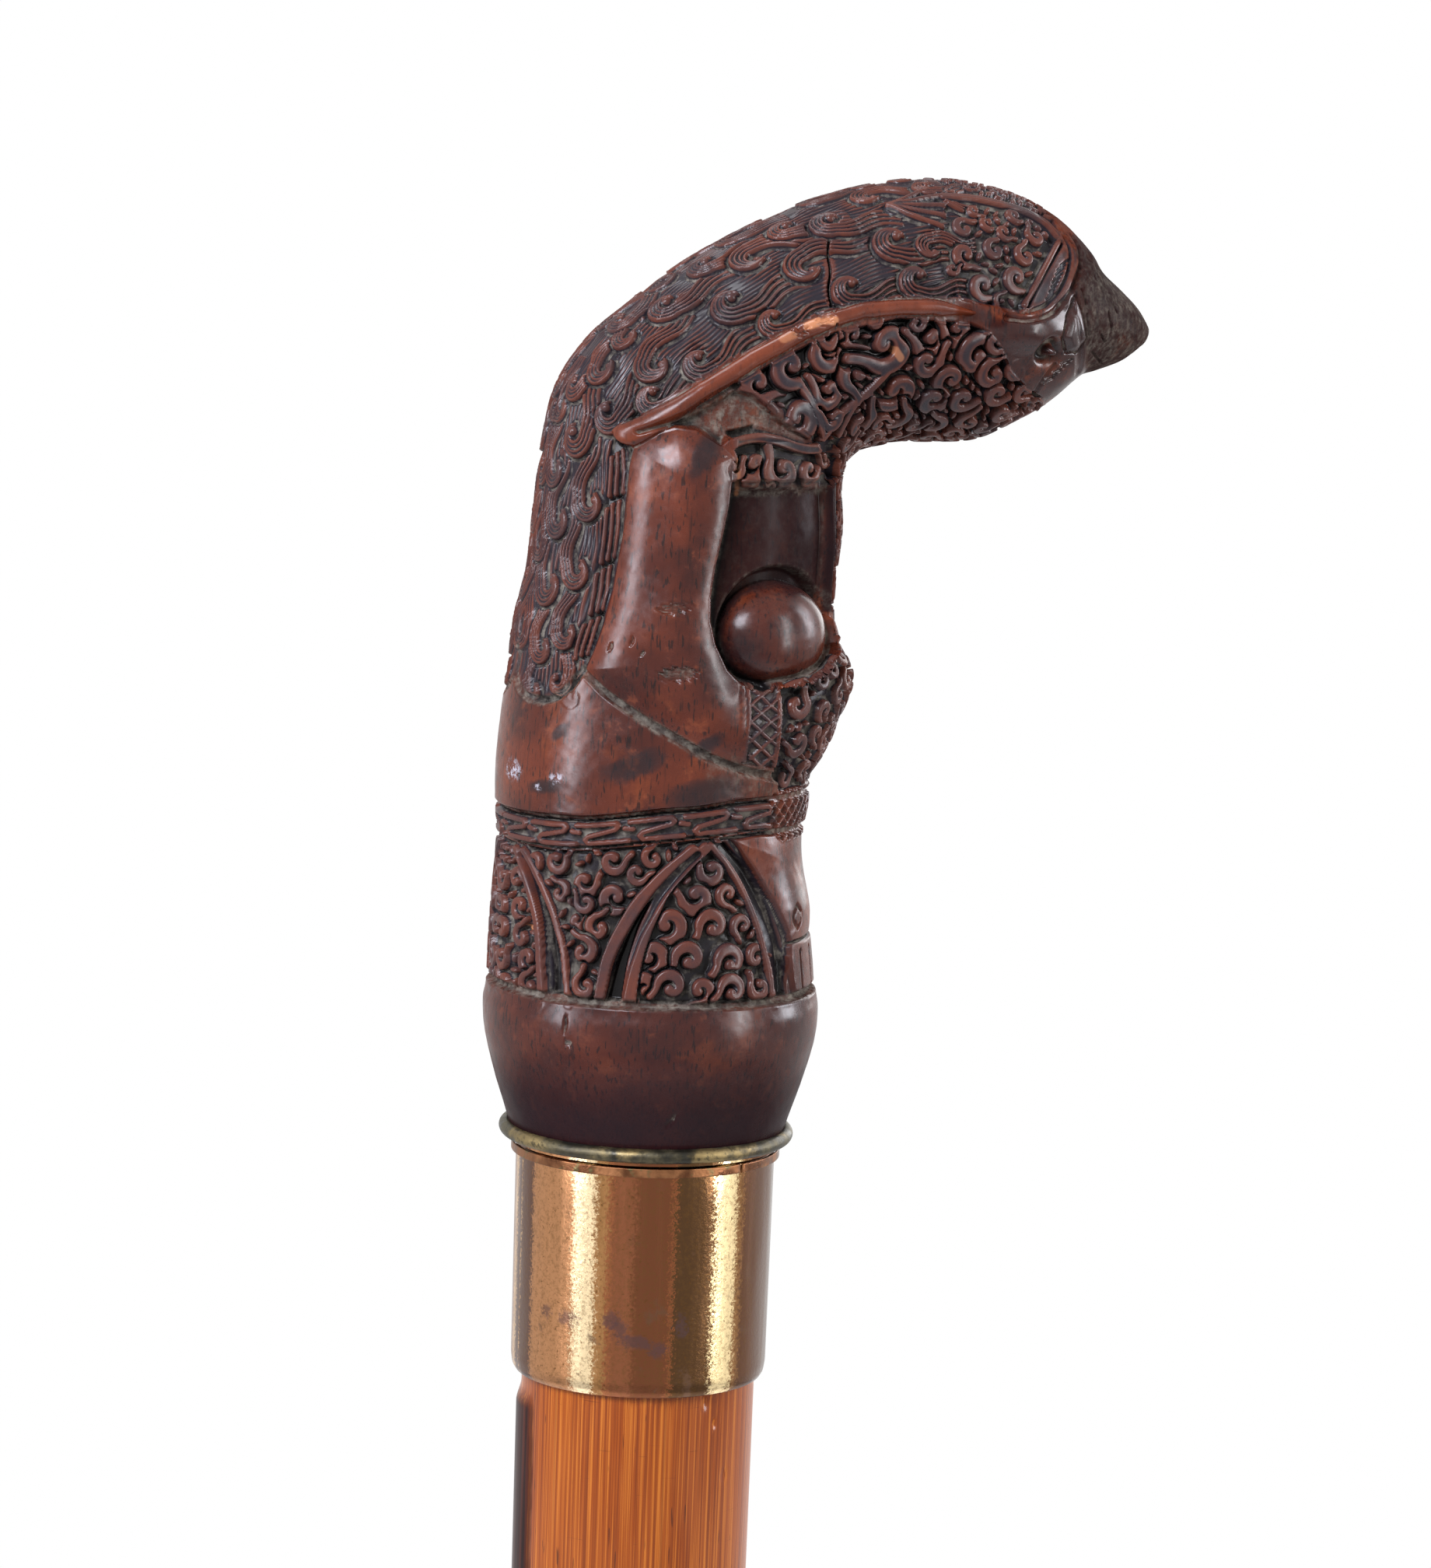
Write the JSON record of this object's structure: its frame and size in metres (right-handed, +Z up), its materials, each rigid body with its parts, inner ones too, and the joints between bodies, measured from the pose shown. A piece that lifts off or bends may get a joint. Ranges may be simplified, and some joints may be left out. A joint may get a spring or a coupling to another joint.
{
  "type": "carved walking stick",
  "caption": "Walking stick with a carved hardwood handle like a stooping beaked figure, a brass collar, a rattan cane shaft with a natural ridge, and a brass and steel ferrule.",
  "frame": {"origin": "centre of the flat face at the bottom of the steel tip", "axes": "+Z up the shaft's axis to the handle, +X the way the carved head points"},
  "size_m": [0.0725, 0.036, 0.9002],
  "materials": {
    "carved_wood": "dark carved hardwood, handled to a low polish, dust in the cuts",
    "cane": "varnished rattan cane, honey orange with fine brown streaks",
    "brass": "polished brass with light stains and scratches",
    "dark_brass": "tarnished brass",
    "copper_brass": "copper-coloured brass strip, dull",
    "steel": "worn steel"
  },
  "bodies": {
    "root": {"handle": "carved_wood", "handle_stud": "steel", "collar_seat_disc": "brass", "collar_bead": "dark_brass", "collar_band": "copper_brass", "collar_tube": "brass", "shaft": "cane", "ferrule_sleeve": "brass", "ferrule_tip": "steel", "ferrule_pin_front": "brass", "ferrule_pin_back": "brass"}
  },
  "joints": []
}
